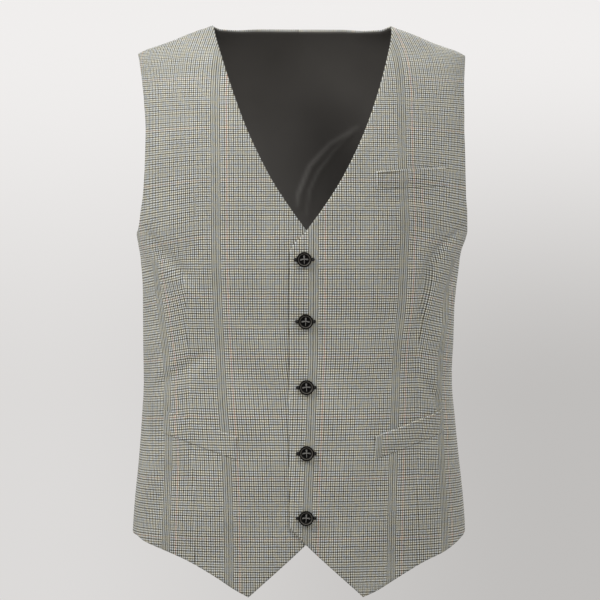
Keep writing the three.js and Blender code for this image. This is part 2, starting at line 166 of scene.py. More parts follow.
def bodyFoldHeight(bearing, height):
    total = 0
    for bearing0, height0, bearing1, height1, depth, reach in bodyFolds:
        ax, ay = (bearing - bearing0) * foldScale, height - height0
        bx, by = (bearing1 - bearing0) * foldScale, height1 - height0
        t = np.clip((ax * bx + ay * by) / (bx * bx + by * by), 0, 1)
        away = np.hypot(ax - bx * t, ay - by * t) / reach
        taper = 1 - np.abs(2 * t - 1) ** foldEndPower * foldEndFade
        total = total + depth * taper * np.exp(-away * away)
    return total


def levelReach(s, c):
    return (np.abs(s) ** worn["power"] + np.abs(c) ** worn["power"]) ** (-1 / worn["power"])


def wornPoint(bearing, height):
    s, c = np.sin(np.radians(bearing)), np.cos(np.radians(bearing))
    reach = levelReach(s, c)
    half = halfWidth(s, height)
    x = half * reach * s
    front = readColumn(worn, "height", height, "front")
    depth = np.where(c > 0, front, readColumn(worn, "height", height, "back"))
    below = readColumn(shoulder, "across", np.abs(x), "height") - height
    t = np.clip(below / worn["shoulderFall"], 0, 1)
    y = -depth * reach * c * np.sqrt(1 - (1 - t) ** worn["shoulderPower"])
    out = bodyFoldHeight(bearing, height)
    far = np.hypot(s / half, c / depth)
    return np.stack([x + out * s / half / far, y - out * c / depth / far, height + 0 * x], -1)


def bearingAt(side, across, height):
    half = halfWidth(side * np.where(across == 0, 1, across), height)
    share = np.minimum(np.abs(across) / half, 0.9999)
    rest = (1 - share ** worn["power"]) ** (1 / worn["power"])
    return np.degrees(np.arctan2(share, rest)) * np.where(across < 0, -1, 1)


def acrossAt(side, bearing, height):
    s, c = np.sin(np.radians(bearing)), np.cos(np.radians(bearing))
    return halfWidth(side * s, height) * levelReach(s, c) * s


def rowHeight(level, side, across, hemLine, topLine):
    slope = smoothStep(shoulder["slopeStart"], shoulder["slopeWhole"], level[0])
    return level[0] + level[1] * (hemLine(side, across) - hem["level"]) + slope * topLine(across)


def frontHemLine(side, across):
    inner = readColumn(hem["inner"], "across", across, "height")
    outer = readColumn(hem["outer"], "across", across, "left" if side > 0 else "right")
    return np.where(across < hem["point"], inner, outer)


def backHemLine(side, across):
    return readColumn(hem["back"], "across", np.abs(across), "height")


def frontTopLine(across):
    return readColumn(shoulder, "across", np.maximum(across, shoulder["neckPoint"]), "height")


def backTopLine(across):
    inner = readColumn(backNeck, "across", np.abs(across), "height")
    outer = readColumn(shoulder, "across", np.abs(across), "height")
    return np.where(np.abs(across) < shoulder["neckPoint"], inner, outer)


def overlapShift(side, across):
    whole = (cloth["frontWall"] + cloth["overlapGap"]) / 2
    return side * whole * (1 - smoothStep(cloth["overlapFull"], cloth["overlapEnd"], np.abs(across)))


def frontSkin(side, bearing, height):
    point = wornPoint(side * bearing, height)
    point[..., 1] -= cloth["seamGap"] / 2 + overlapShift(side, side * point[..., 0])
    return point


def backSkin(side, fromBack, height):
    point = wornPoint(side * (180 - fromBack), height)
    point[..., 0] += side * cloth["seamGap"] / 2
    point[..., 1] += cloth["seamGap"] / 2
    return point


# panels

def fineRows():
    heights, hemShares = [], []
    edge = np.asarray([readColumn(armhole, "height", h, "front") for h in levels["height"]]) * foldScale
    for i in range(len(levels["height"]) - 1):
        rise = levels["height"][i + 1] - levels["height"][i]
        drop = (levels["hem"][i] - levels["hem"][i + 1]) * 64
        sideways = abs(edge[i + 1] - edge[i])
        count = math.ceil(max((rise + drop) / levels["step"], sideways / levels["edgeStep"]))
        for k in range(count):
            heights.append(levels["height"][i] + rise * k / count)
            hemShares.append(levels["hem"][i] + (levels["hem"][i + 1] - levels["hem"][i]) * k / count)
    return np.array([heights + [levels["height"][-1]], hemShares + [levels["hem"][-1]]])


def fineShares(shares, split, near=None, nearSplit=0):
    fine = []
    for a, b in zip(shares, shares[1:]):
        count = nearSplit if near is not None and near in (a, b) else split
        fine += [a + (b - a) * k / count for k in range(count)]
    return np.array(fine + [shares[-1]])


rows = fineRows()
frontShares = fineShares(frontColumns["share"], frontColumns["split"], frontColumns["dart"],
                         frontColumns["dartSplit"])
backShares = fineShares(backColumns["share"], backColumns["split"])
dartColumn = int(np.argmin(np.abs(frontShares - frontColumns["dart"])))

darts = {  # where each waist dart runs, and how much cloth it takes in
    1: {"height": [-654, -546, -452, -389, -360, -329.5, -285, -269],
        "across": [130.6, 131.5, 131.8, 133.2, 134.4, 137.3, 138.5, 139.5]},
    -1: {"height": [-654, -547, -460, -390, -344, -300, -283, -272],
         "across": [128, 129.3, 133.9, 135, 138.4, 139.6, 141.9, 147.6]},
    "top": -270,
    "patternTop": -262,
    "fadeAbove": 70,
    "depth": 1.0,
    "reach": 1.2,
    "intake": {"height": [-654, -560, -480, -390, -330, -270, -260], "mm": [5, 8, 12, 14, 9, 0, 0]},
}


def frontGrid(side):
    share = frontShares[:, None]
    level = (rows[0][None, :], rows[1][None, :])
    outer = readColumn(armhole, "height", level[0], "front")
    start = np.where(level[1] > 0, hem["point"], shoulder["neckPoint"])
    height = rowHeight(level, side, start, frontHemLine, frontTopLine) + 0 * share
    middle = frontColumns["point"]
    for fitPass in range(fitPasses):
        inner = bearingAt(side, readColumn(neckline, "height", height, "across"), height)
        tip = bearingAt(side, hem["point"] + 0 * height, height)
        plain = inner + (outer - inner) * share
        toPoint = np.where(share <= middle, inner + (tip - inner) * share / middle,
                           tip + (outer - tip) * (share - middle) / (1 - middle))
        bearing = plain + (toPoint - plain) * smoothStep(0, frontColumns["pointRow"], level[1])
        dartAt = bearingAt(side, readColumn(darts[side], "height", height, "across"), height)
        weight = np.where(share < frontColumns["dart"],
                          np.clip((share - middle) / (frontColumns["dart"] - middle), 0, 1),
                          (1 - share) / (1 - frontColumns["dart"]))
        weight = weight * (1 - smoothStep(darts["top"], darts["top"] + darts["fadeAbove"], height))
        bearing = bearing + (dartAt - bearing)[dartColumn][None, :] * weight
        across = acrossAt(side, bearing, height)
        height = height + (rowHeight(level, side, across, frontHemLine, frontTopLine) - height) * fitShare
    return bearing, height


def backGrid(side):
    share = backShares[:, None]
    level = (rows[0][None, :], rows[1][None, :])
    outer = readColumn(armhole, "height", level[0], "back")
    height = rowHeight(level, side, shoulder["neckPoint"], backHemLine, backTopLine) + 0 * share
    middle = backColumns["neck"]
    for fitPass in range(fitPasses):
        neck = bearingAt(side, shoulder["neckPoint"] + 0 * height, height)
        plain = outer * share
        toNeck = np.where(share <= middle, neck * share / middle,
                          neck + (outer - neck) * (share - middle) / (1 - middle))
        blend = smoothStep(shoulder["slopeStart"], shoulder["slopeWhole"], level[0])
        bearing = plain + (toNeck - plain) * blend
        across = acrossAt(side, bearing, height)
        height = height + (rowHeight(level, side, across, backHemLine, backTopLine) - height) * fitShare
    return bearing, height


def gridNormals(points):
    along = np.gradient(points, axis=0)
    up = np.gradient(points, axis=1)
    normal = np.cross(along, up)
    normal /= np.linalg.norm(normal, axis=-1, keepdims=True)
    i, j = points.shape[0] // 2, points.shape[1] // 2
    if np.dot(normal[i, j, :2], points[i, j, :2]) < 0:
        normal = -normal
    return normal


def creaseHeight(creases, across, height):
    total = 0 * across
    for crease in creases:
        path = np.array(crease["path"], float)
        best = np.full(across.shape, 1e9)
        along = 0 * across
        for k in range(len(path) - 1):
            a, b = path[k], path[k + 1]
            d = b - a
            t = np.clip(((across - a[0]) * d[0] + (height - a[1]) * d[1]) / (d @ d), 0, 1)
            away = np.hypot(across - a[0] - d[0] * t, height - a[1] - d[1] * t)
            closer = away < best
            best = np.where(closer, away, best)
            along = np.where(closer, (k + t) / (len(path) - 1), along)
        taper = np.sin(np.pi * (0.08 + 0.84 * along)) ** 0.8
        total = total + crease["depth"] * taper * np.exp(-(best / crease["reach"]) ** 2)
    return total


# where each line of the check lies

warpPitch = 2.65  # millimetres between two warp lines of the check
frontWarps = {  # where named warp lines lie across each front
    1: {"height": [-600, -540, -494, -448, -402, -367, -309, -251, -228, -136, -30],
        "lines": [0, 23, 40],
        "line0": [1, 2, 3.7, 5.5, 7, 7.9, 7.9, 7.9, 7.9, 7.9, 7.9],
        "line1": [59.2, 60.6, 62, 64, 66.1, 68.6, 70.3, 70.2, 70.1, 69.8, 69.6],
        "line2": [99.3, 100.2, 101.4, 103.3, 104.8, 106.4, 111.9, 113.9, 114.6, 111.1, 111.7],
        "skip": 10, "skipAbove": -4},
    -1: {"height": [-600, -540, -482, -425, -367, -309, -251, -160, -90, -30],
         "lines": [23, 0],
         "line0": [30.8, 32, 33.8, 37, 41.8, 44, 44.2, 44.3, 44.3, 44.3],
         "line1": [89, 90.1, 92.4, 96.4, 99.2, 102.1, 103.9, 104.4, 104.8, 104.5],
         "skip": -8, "skipAbove": 8},
}
wefts = {
    "height": [-660, -571.5, -500.9, -429.4, -360, -290.6, -222.8, -158.1, -97.8, -40, -22, 0, 30],
    "line": [-150, -120, -96, -72, -48, -24, 0, 24, 48, 72, 80, 93, 117],
    "backLine": [-150, -120, -96, -72, -48, -24, 0, 24, 48, 72, 79.5, 88.6, 101],
    "slopeHeight": [-600, -560, -500, -430, -360, -310, -260, -200, -150, -60],
    "slope": [0, 0.01, 0.07, 0.13, 0.2, 0.24, 0.22, 0.15, 0.08, 0],
    "slopeFrom": 118,
    "soft": 14,
}
shoulderLean = {"height": [-75, -55, -38, -22, -8, 8, 30], "mm": [0, 0.8, 2.4, 5.4, 11, 18, 27]}
gaussAt, gaussWeight = np.polynomial.legendre.leggauss(16)


def arcTo(side, bearing, height, depthOf):
    half = halfWidth(side, height)[..., None]
    depth = readColumn(worn, "height", height, depthOf)[..., None]
    turn = np.radians(bearing)[..., None] * (gaussAt + 1) / 2
    s, c = np.sin(turn), np.cos(turn)
    power = worn["power"]
    reach = levelReach(s, c)
    change = np.abs(s) ** (power - 1) * np.sign(s) * c - np.abs(c) ** (power - 1) * np.sign(c) * s
    change = -change * reach ** (power + 1)
    speed = np.hypot(half * (change * s + reach * c), depth * (change * c - reach * s))
    return (speed * gaussWeight).sum(-1) * np.radians(bearing) / 2


def frontClothPlace(side, bearing, across, height, zone):
    warps = frontWarps[side]
    lean = readColumn(shoulderLean, "height", height, "mm") * np.clip(across / 190, 0, 1) ** 0.4
    arc = arcTo(side, bearing, height, "front") + lean
    lines = []
    for k in range(len(warps["lines"])):
        at = bearingAt(side, readColumn(warps, "height", height, "line%d" % k), height)
        lines.append(arcTo(side, at, height, "front"))
    turn = 1 if side > 0 else -1
    pitch = (lines[1] - lines[0]) / abs(warps["lines"][1] - warps["lines"][0])
    u = warps["lines"][0] + turn * (arc - lines[0]) / pitch
    for k in range(1, len(lines)):
        if k + 1 < len(lines):
            pitch = (lines[k + 1] - lines[k]) / abs(warps["lines"][k + 1] - warps["lines"][k])
        else:
            pitch = warpPitch
        u = np.where(arc > lines[k], warps["lines"][k] + turn * (arc - lines[k]) / pitch, u)
    taken = readColumn(darts["intake"], "height", height, "mm") / warpPitch
    u = u + (0, warps["skip"] + turn * taken, warps["skipAbove"])[zone]
    below = 1 - smoothStep(darts["top"] - 4, darts["top"] + 30, height)
    dartAt = readColumn(darts[side], "height", height, "across")
    start = wefts["slopeFrom"] + (dartAt - wefts["slopeFrom"]) * below
    past = np.maximum(across - start, 0)
    past = past * past / (past + wefts["soft"] * (1 - below) + 1e-6)
    slope = readColumn(wefts, "slopeHeight", height, "slope")
    return u, readColumn(wefts, "height", height + slope * past, "line")


def backClothPlace(side, bearing, height):
    arc = arcTo(side, bearing, height, "back")
    return (arc - 52) / warpPitch * side + (20 if side < 0 else 0), readColumn(wefts, "height", height, "backLine")


# thin closed shells from a grid of points

def shellMesh(name, points, wall, clothAt, rounding, splitColumn=None, lowerEdge=0.45, turnedRows=0,
              paintedLight=None):
    normals = gridNormals(points)
    columns, count = points.shape[:2]
    wall = wall + np.zeros((columns, count))
    ring = [(i, 0) for i in range(columns - 1)] + [(columns - 1, j) for j in range(count - 1)]
    ring += [(i, count - 1) for i in range(columns - 1, 0, -1)] + [(0, j) for j in range(count - 1, 0, -1)]
    ring = np.array(ring)
    outer = points.copy()
    inner = points - normals * wall[..., None]
    ri, rj = ring[:, 0], ring[:, 1]
    middle = points[ri, rj] - normals[ri, rj] * wall[ri, rj][:, None] / 2
    inward = np.array([np.clip(ri, 1, columns - 2), np.clip(rj, 1, count - 2)])
    away = points[ri, rj] - points[inward[0], inward[1]]
    away -= normals[ri, rj] * (away * normals[ri, rj]).sum(-1, keepdims=True)
    away /= np.linalg.norm(away, axis=-1, keepdims=True)
    middle += away * rounding(ri, rj, columns, count)[:, None]
    lower = np.minimum(lowerEdge, wall[ri, rj] * 0.3)[:, None]
    outer[ri, rj] -= normals[ri, rj] * lower
    inner[ri, rj] += normals[ri, rj] * lower * 0.6
    verts = np.concatenate([outer.reshape(-1, 3), inner.reshape(-1, 3), middle]) * mm
    size = columns * count
    i, j = np.meshgrid(np.arange(columns - 1), np.arange(count - 1), indexing="ij")
    a, b = (i * count + j).ravel(), ((i + 1) * count + j).ravel()
    outerFaces = np.stack([a, b, b + 1, a + 1], -1)
    innerFaces = outerFaces[:, ::-1] + size
    flat = ri * count + rj
    after = np.roll(flat, -1)
    here = 2 * size + np.arange(len(ring))
    there = np.roll(here, -1)
    edgeOut = np.stack([after, flat, here, there], -1)
    edgeIn = np.stack([there, here, flat + size, after + size], -1)
    faces = np.concatenate([outerFaces, innerFaces, edgeOut, edgeIn])
    first = verts[outerFaces[len(outerFaces) // 2]]
    facing = np.cross(first[1] - first[0], first[3] - first[0])
    if np.dot(facing, normals[columns // 2, count // 2]) < 0:
        faces = faces[:, ::-1]
    mesh = bpy.data.meshes.new(name)
    mesh.from_pydata(verts.tolist(), [], faces.tolist())
    columnOf = np.concatenate([i.ravel(), i.ravel(), np.minimum(ri, columns - 2), np.minimum(ri, columns - 2)])
    rowOf = np.concatenate([j.ravel(), j.ravel(), np.minimum(rj, count - 2), np.minimum(rj, count - 2)])
    zone = np.zeros(len(faces), int)
    if splitColumn is not None:
        above = rows[0][np.minimum(rowOf, len(rows[0]) - 1)] >= darts["patternTop"]
        zone = np.where(columnOf >= splitColumn, np.where(above, 2, 1), 0)
    places = []
    for number in range(3):
        u, v = clothAt(number)
        grid = np.stack([u.ravel(), v.ravel()], -1)
        places.append(np.concatenate([grid, grid, grid[flat]]))
    places = np.array(places)
    loops = faces.ravel()
    uv = places[np.repeat(zone, 4), loops]
    layer = mesh.uv_layers.new(name="cloth")
    layer.data.foreach_set("uv", uv.astype(np.float32).ravel())
    innerSide = np.zeros(len(faces), np.int32)
    innerSide[len(outerFaces):2 * len(outerFaces)] = (j.ravel() < count - 1 - turnedRows)
    mesh.polygons.foreach_set("material_index", innerSide)
    # per-point painted highlight (above 0) and painted shade (below 0), for the materials to blend in
    if paintedLight is not None:
        values = np.concatenate([paintedLight.ravel(), paintedLight.ravel(), paintedLight[ri, rj]])
        mesh.attributes.new("paintedLight", "FLOAT", "POINT").data.foreach_set("value", values.astype(np.float32))
    mesh.polygons.foreach_set("use_smooth", np.ones(len(faces), bool))
    mesh.update()
    return mesh


def addPiece(name, mesh, *materials):
    piece = bpy.data.objects.new(name, mesh)
    bpy.context.scene.collection.objects.link(piece)
    for material in materials:
        mesh.materials.append(material)
    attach(piece, "root")
    return piece


# materials

def newGroup(name, inputs, outputs):
    tree = bpy.data.node_groups.new(name, "ShaderNodeTree")
    for socketName, kind in inputs:
        tree.interface.new_socket(socketName, in_out="INPUT", socket_type=kind)
    for socketName, kind in outputs:
        tree.interface.new_socket(socketName, in_out="OUTPUT", socket_type=kind)
    return tree, tree.nodes.new("NodeGroupInput"), tree.nodes.new("NodeGroupOutput")


def calc(tree, operation, *values, clamp=False):
    node = tree.nodes.new("ShaderNodeMath")
    node.operation = operation
    node.use_clamp = clamp
    for socket, value in zip(node.inputs, values):
        if isinstance(value, (int, float)):
            socket.default_value = value
        else:
            tree.links.new(value, socket)
    return node.outputs[0]


def ramp(tree, value, low, high, toLow=0.0, toHigh=1.0):
    node = tree.nodes.new("ShaderNodeMapRange")
    node.interpolation_type = "SMOOTHSTEP"
    tree.links.new(value, node.inputs["Value"])
    for socketName, number in (("From Min", low), ("From Max", high), ("To Min", toLow), ("To Max", toHigh)):
        node.inputs[socketName].default_value = number
    return node.outputs["Result"]


def blend(tree, amount, first, second, mode="MIX"):
    node = tree.nodes.new("ShaderNodeMix")
    node.data_type = "RGBA"
    node.blend_type = mode
    for socket, value in ((node.inputs[0], amount), (node.inputs[6], first), (node.inputs[7], second)):
        if isinstance(value, (int, float)):
            socket.default_value = value
        elif isinstance(value, tuple):
            socket.default_value = (*value, 1)
        else:
            tree.links.new(value, socket)
    return node.outputs[2]


def noise(tree, vector, scale, detail=2.0, roughness=0.5):
    node = tree.nodes.new("ShaderNodeTexNoise")
    if vector is not None:
        tree.links.new(vector, node.inputs["Vector"])
    node.inputs["Scale"].default_value = scale
    node.inputs["Detail"].default_value = detail
    node.inputs["Roughness"].default_value = roughness
    return node.outputs["Fac"]


checkLook = {
    "light": (0.925, 0.922, 0.883),
    "dark": (0.056, 0.038, 0.001),
    "blue": (0.040, 0.040, 0.046),
    "olive": (0.100, 0.076, 0.010),
    "rust": (0.42, 0.10, 0.03),
    "lilac": (0.87, 0.925, 1.0),
    "straw": (1.0, 0.985, 0.89),
    "plain": (0.375, 0.365, 0.315),
    "lineFrom": 0.34,
    "lineTo": 0.58,
    "oddShare": 0.80,
    "warpRepeat": 20.0,
    "weftRepeat": 12.0,
    "warpFadeAt": 23.0,
    "weftFadeAt": 8.0,
    "rustAt": 5.0,
    "softFrom": 60.0,
    "softTo": 74.0,
    "twillDepth": 0.12,
}


def glenCheckGroup():
    look = checkLook
    tree, start, end = newGroup("glenCheck", [("Cloth", "NodeSocketVector")],
                                [("Color", "NodeSocketColor"), ("Height", "NodeSocketFloat")])
    parts = tree.nodes.new("ShaderNodeSeparateXYZ")
    tree.links.new(start.outputs["Cloth"], parts.inputs[0])
    u, v = parts.outputs[0], parts.outputs[1]
    slub = noise(tree, start.outputs["Cloth"], 0.35, 1.0)
    wander = calc(tree, "MULTIPLY", calc(tree, "SUBTRACT", slub, 0.5), 0.22)
    u = calc(tree, "ADD", u, wander)
    v = calc(tree, "SUBTRACT", v, wander)

    def near(value, centre, repeat, inside, outside):
        away = calc(tree, "PINGPONG", calc(tree, "SUBTRACT", value, centre), repeat)
        return ramp(tree, away, inside, outside, 1.0, 0.0)

    band = near(u, 0.0, look["warpRepeat"], 1.7, 2.7)
    warpFade = near(u, look["warpFadeAt"], look["warpRepeat"], 0.8, 2.6)
    weftFade = near(v, 0.0, look["weftRepeat"], 0.8, 2.4)
    rowFade = near(v, look["weftFadeAt"], look["weftRepeat"], 0.8, 2.6)
    warpShown = calc(tree, "MULTIPLY", calc(tree, "MULTIPLY_ADD", warpFade, -0.3, 1.0),
                     calc(tree, "MULTIPLY_ADD", rowFade, -0.3, 1.0))
    weftShown = calc(tree, "MULTIPLY", calc(tree, "MULTIPLY_ADD", band, -0.75, 1.0),
                     calc(tree, "MULTIPLY_ADD", weftFade, -0.4, 1.0))
    weftShown = calc(tree, "MULTIPLY", weftShown, ramp(tree, v, look["softFrom"], look["softTo"], 1.0, 0.72))

    def lineSet(value, shown, odd, rust):
        wave = calc(tree, "COSINE", calc(tree, "MULTIPLY", value, 2 * math.pi))
        line = ramp(tree, calc(tree, "MULTIPLY_ADD", wave, 0.5, 0.5), look["lineFrom"], look["lineTo"])
        parity = calc(tree, "MULTIPLY_ADD", calc(tree, "COSINE", calc(tree, "MULTIPLY", value, math.pi)), 0.5, 0.5)
        strength = ramp(tree, parity, 0.35, 0.65, look["oddShare"], 1.0)
        colour = blend(tree, ramp(tree, parity, 0.35, 0.65), odd, look["dark"])
        colour = blend(tree, rust, colour, look["rust"])
        amount = calc(tree, "MULTIPLY", calc(tree, "MULTIPLY", line, strength), shown)
        ground = blend(tree, shown, look["plain"], look["light"])
        return blend(tree, amount, ground, colour), line

    rustWarp = calc(tree, "MULTIPLY", near(u, look["rustAt"], look["warpRepeat"], 0.3, 0.6), 0.8)
    rustWeft = calc(tree, "MULTIPLY", near(v, look["rustAt"] - 10, look["weftRepeat"], 0.3, 0.6), 0.35)
    warpColour, warpLine = lineSet(u, warpShown, look["blue"], rustWarp)
    weftColour, weftLine = lineSet(v, weftShown, look["olive"], rustWeft)
    crossed = blend(tree, 0.5, warpColour, weftColour)
    deeper = blend(tree, 1.0, warpColour, weftColour, "MULTIPLY")
    colour = blend(tree, 0.55, crossed, deeper)
    patch = noise(tree, start.outputs["Cloth"], 0.45, 1.0, 0.6)
    colour = blend(tree, 1.0, colour, blend(tree, ramp(tree, patch, 0.35, 0.65), look["lilac"], look["straw"]),
                   "MULTIPLY")
    twist = calc(tree, "SINE", calc(tree, "MULTIPLY", calc(tree, "ADD", u, v), 4 * math.pi))
    fleck = calc(tree, "MULTIPLY_ADD", twist, look["twillDepth"] / 2, 1.0)
    cloudy = noise(tree, start.outputs["Cloth"], 0.06, 3.0)
    tone = calc(tree, "MULTIPLY", fleck, ramp(tree, cloudy, 0.3, 0.7, 0.95, 1.05))
    grey = tree.nodes.new("ShaderNodeCombineColor")
    for socket in grey.inputs[:3]:
        tree.links.new(tone, socket)
    colour = blend(tree, 1.0, colour, grey.outputs[0], "MULTIPLY")
    tree.links.new(colour, end.inputs["Color"])
    height = calc(tree, "ADD", calc(tree, "MULTIPLY", twist, 0.5),
                  calc(tree, "MULTIPLY", calc(tree, "ADD", warpLine, weftLine), 0.25))
    tree.links.new(height, end.inputs["Height"])
    return tree


def newMaterial(name):
    material = bpy.data.materials.new(name)
    material.use_nodes = True
    return material, material.node_tree, material.node_tree.nodes["Principled BSDF"]


def bumpInto(tree, shader, height, strength, distance):
    bump = tree.nodes.new("ShaderNodeBump")
    bump.inputs["Strength"].default_value = strength
    bump.inputs["Distance"].default_value = distance
    tree.links.new(height, bump.inputs["Height"])
    tree.links.new(bump.outputs[0], shader.inputs["Normal"])


def checkMaterial():
    material, tree, shader = newMaterial("checkCloth")
    place = tree.nodes.new("ShaderNodeUVMap")
    place.uv_map = "cloth"
    check = tree.nodes.new("ShaderNodeGroup")
    check.node_tree = glenCheckGroup()
    tree.links.new(place.outputs[0], check.inputs["Cloth"])
    # painted highlight and painted shade: the per-point attribute lightens the cloth towards its light colour where
    # above 0 and darkens it towards its dark colour where below 0
    paintedLight = tree.nodes.new("ShaderNodeAttribute")
    paintedLight.attribute_name = "paintedLight"
    colour = blend(tree, ramp(tree, paintedLight.outputs["Fac"], 0.0, 1.0, 0.0, 0.32), check.outputs["Color"],
                   checkLook["light"])
    colour = blend(tree, ramp(tree, paintedLight.outputs["Fac"], -1.0, 0.0, 0.7, 0.0), colour, checkLook["dark"])
    tree.links.new(colour, shader.inputs["Base Color"])
    shader.inputs["Roughness"].default_value = 0.88
    shader.inputs["Specular IOR Level"].default_value = 0.25
    shader.inputs["Sheen Weight"].default_value = 0.12
    shader.inputs["Sheen Roughness"].default_value = 0.5
    bumpInto(tree, shader, check.outputs["Height"], 0.35, 0.0002)
    return material


liningLook = {"colour": (0.118, 0.111, 0.102), "deep": (0.100, 0.094, 0.086),
              "shine": (0.24, 0.23, 0.215)}


def liningMaterial():
    material, tree, shader = newMaterial("liningSatin")
    place = tree.nodes.new("ShaderNodeTexCoord")
    soft = noise(tree, place.outputs["Object"], 9.0, 3.0)
    colour = blend(tree, ramp(tree, soft, 0.3, 0.7), liningLook["deep"], liningLook["colour"])
    # painted highlight along the lining's two main creases, read from the per-point attribute
    shine = tree.nodes.new("ShaderNodeAttribute")
    shine.attribute_name = "paintedLight"
    colour = blend(tree, shine.outputs["Fac"], colour, liningLook["shine"])
    tree.links.new(colour, shader.inputs["Base Color"])
    fine = noise(tree, place.outputs["Object"], 2600.0, 1.0)
    shader.inputs["Roughness"].default_value = 0.46
    shader.inputs["Specular IOR Level"].default_value = 0.35
    shader.inputs["Anisotropic"].default_value = 0.3
    bumpInto(tree, shader, fine, 0.12, 0.0001)
    return material


def buttonMaterial():
    material, tree, shader = newMaterial("buttonBlack")
    place = tree.nodes.new("ShaderNodeTexCoord")
    grain = noise(tree, place.outputs["Object"], 420.0, 3.0)
    colour = blend(tree, ramp(tree, grain, 0.35, 0.7), (0.002, 0.002, 0.002), (0.007, 0.0065, 0.006))
    # painted highlight: a lighter ring on the inner slope of the raised rim
    rimHighlight = tree.nodes.new("ShaderNodeAttribute")
    rimHighlight.attribute_name = "rimHighlight"
    colour = blend(tree, rimHighlight.outputs["Fac"], colour, (0.10, 0.093, 0.08))
    tree.links.new(colour, shader.inputs["Base Color"])
    tree.links.new(ramp(tree, grain, 0.3, 0.7, 0.30, 0.42), shader.inputs["Roughness"])
    shader.inputs["Specular IOR Level"].default_value = 0.08
    bumpInto(tree, shader, grain, 0.08, 0.0001)
    return material


def threadMaterial(name, dark, light):
    material, tree, shader = newMaterial(name)
    place = tree.nodes.new("ShaderNodeTexCoord")
    strands = tree.nodes.new("ShaderNodeTexWave")
    tree.links.new(place.outputs["Object"], strands.inputs["Vector"])
    strands.bands_direction = "DIAGONAL"
    strands.inputs["Scale"].default_value = 900.0
    strands.inputs["Distortion"].default_value = 1.5
    colour = blend(tree, strands.outputs["Fac"], dark, light)
    tree.links.new(colour, shader.inputs["Base Color"])
    shader.inputs["Roughness"].default_value = 0.6
    bumpInto(tree, shader, strands.outputs["Fac"], 0.4, 0.0001)
    return material


print("materials")
checkCloth = checkMaterial()
liningSatin = liningMaterial()
buttonBlack = buttonMaterial()
buttonThread = threadMaterial("buttonThread", (0.13, 0.125, 0.115), (0.24, 0.235, 0.22))
holeThread = threadMaterial("holeThread", (0.006, 0.006, 0.006), (0.016, 0.016, 0.016))

# fronts

frontCreases = {  # soft troughs (-) and ridges (+) on each front, as across and height
    1: [
        {"path": [(186, -226), (160, -249), (146, -268), (140, -300), (134, -335), (128, -363)],
         "depth": -5.0, "reach": 4.6},
        {"path": [(172, -232), (152, -256), (138, -290), (128, -330)], "depth": -1.6, "reach": 9},
        {"path": [(180, -238), (166, -262), (153, -292), (145, -326)], "depth": 2.0, "reach": 8},
        {"path": [(156, -222), (138, -250), (129, -276), (126, -306), (120, -345)], "depth": 2.0, "reach": 6.5},
        {"path": [(176, -268), (166, -298), (156, -340)], "depth": -0.8, "reach": 7},
        {"path": [(138, -399), (152, -422), (168, -440)], "depth": -3.6, "reach": 6},
        {"path": [(150, -398), (166, -418)], "depth": 0.9, "reach": 7},
        {"path": [(112, -372), (140, -378), (170, -372)], "depth": -0.6, "reach": 8},
        {"path": [(84, -196), (124, -194), (164, -190)], "depth": -0.7, "reach": 5},
        {"path": [(20, -300), (60, -312), (104, -306)], "depth": 0.35, "reach": 14},
        {"path": [(104, -470), (112, -520), (108, -580)], "depth": 0.5, "reach": 12},
        {"path": [(24, -540), (58, -566), (96, -576)], "depth": -0.35, "reach": 12},
    ],
    -1: [
        {"path": [(186, -228), (173, -246), (155, -265), (133, -286)], "depth": -3.6, "reach": 6.5},
        {"path": [(180, -256), (164, -276), (146, -296)], "depth": 1.3, "reach": 8},
        {"path": [(131, -286), (132, -320), (132, -362)], "depth": 0.5, "reach": 6},
        {"path": [(106, -366), (134, -384), (160, -401), (182, -422)], "depth": -2.6, "reach": 7},
        {"path": [(118, -398), (146, -416), (170, -436)], "depth": 0.9, "reach": 9},
        {"path": [(30, -286), (70, -300), (110, -292)], "depth": -0.35, "reach": 12},
        {"path": [(20, -420), (40, -470), (36, -520)], "depth": -0.35, "reach": 9},
        {"path": [(110, -500), (118, -548), (112, -600)], "depth": 0.5, "reach": 12},
        {"path": [(60, -530), (92, -560), (124, -566)], "depth": -0.35, "reach": 10},
    ],
}


def frontPoints(side):
    bearing, height = frontGrid(side)
    points = frontSkin(side, bearing, height)
    normals = gridNormals(points)
    across = side * points[..., 0]
    lift = creaseHeight(frontCreases[side], across, height)
    dartAt = readColumn(darts[side], "height", height, "across")
    inDart = 1 - smoothStep(darts["top"] - 12, darts["top"], height)
    lift -= darts["depth"] * inDart * np.exp(-((across - dartAt) / darts["reach"]) ** 2)
    edge = np.minimum(np.arange(len(points)), 6)[:, None] / 6
    return points + normals * (lift * edge)[..., None], bearing


def freeEdgeRound(freeOuter):
    def rounding(i, j, columns, count):
        height = rows[0][j]
        seam = ((i == columns - 1) & (height <= -233)) | (j == count - 1)
        if not freeOuter:
            seam = seam | (i == 0)
        return np.where(seam, 0.1, cloth["edgeRound"])
    return rounding


for side, name, node in ((1, "leftFront", "front_left"), (-1, "rightFront", "front_right")):
    points, bearing = frontPoints(side)

    def clothAt(zone, side=side, points=points, bearing=bearing):
        return frontClothPlace(side, bearing, side * points[..., 0], points[..., 2], zone)

    mesh = shellMesh(name, points, cloth["frontWall"], clothAt, freeEdgeRound(True), dartColumn)
    piece = addPiece(name, mesh, checkCloth, liningSatin)
    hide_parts(node)
print("fronts")

# backs, lining

backCreases = [
    {"path": [(176, -238), (150, -262), (120, -300)], "depth": -1.6, "reach": 7},
    {"path": [(182, -266), (150, -300), (128, -336)], "depth": 0.9, "reach": 9},
    {"path": [(168, -392), (120, -404), (60, -400)], "depth": -1.4, "reach": 8},
    {"path": [(172, -420), (126, -432), (70, -424)], "depth": 0.9, "reach": 9},
    {"path": [(96, -300), (88, -380), (92, -460)], "depth": -0.8, "reach": 6},
    {"path": [(160, -520), (120, -540), (80, -536)], "depth": 0.5, "reach": 12},
    {"path": [(150, -120), (120, -150), (96, -196)], "depth": 0.5, "reach": 13},
]


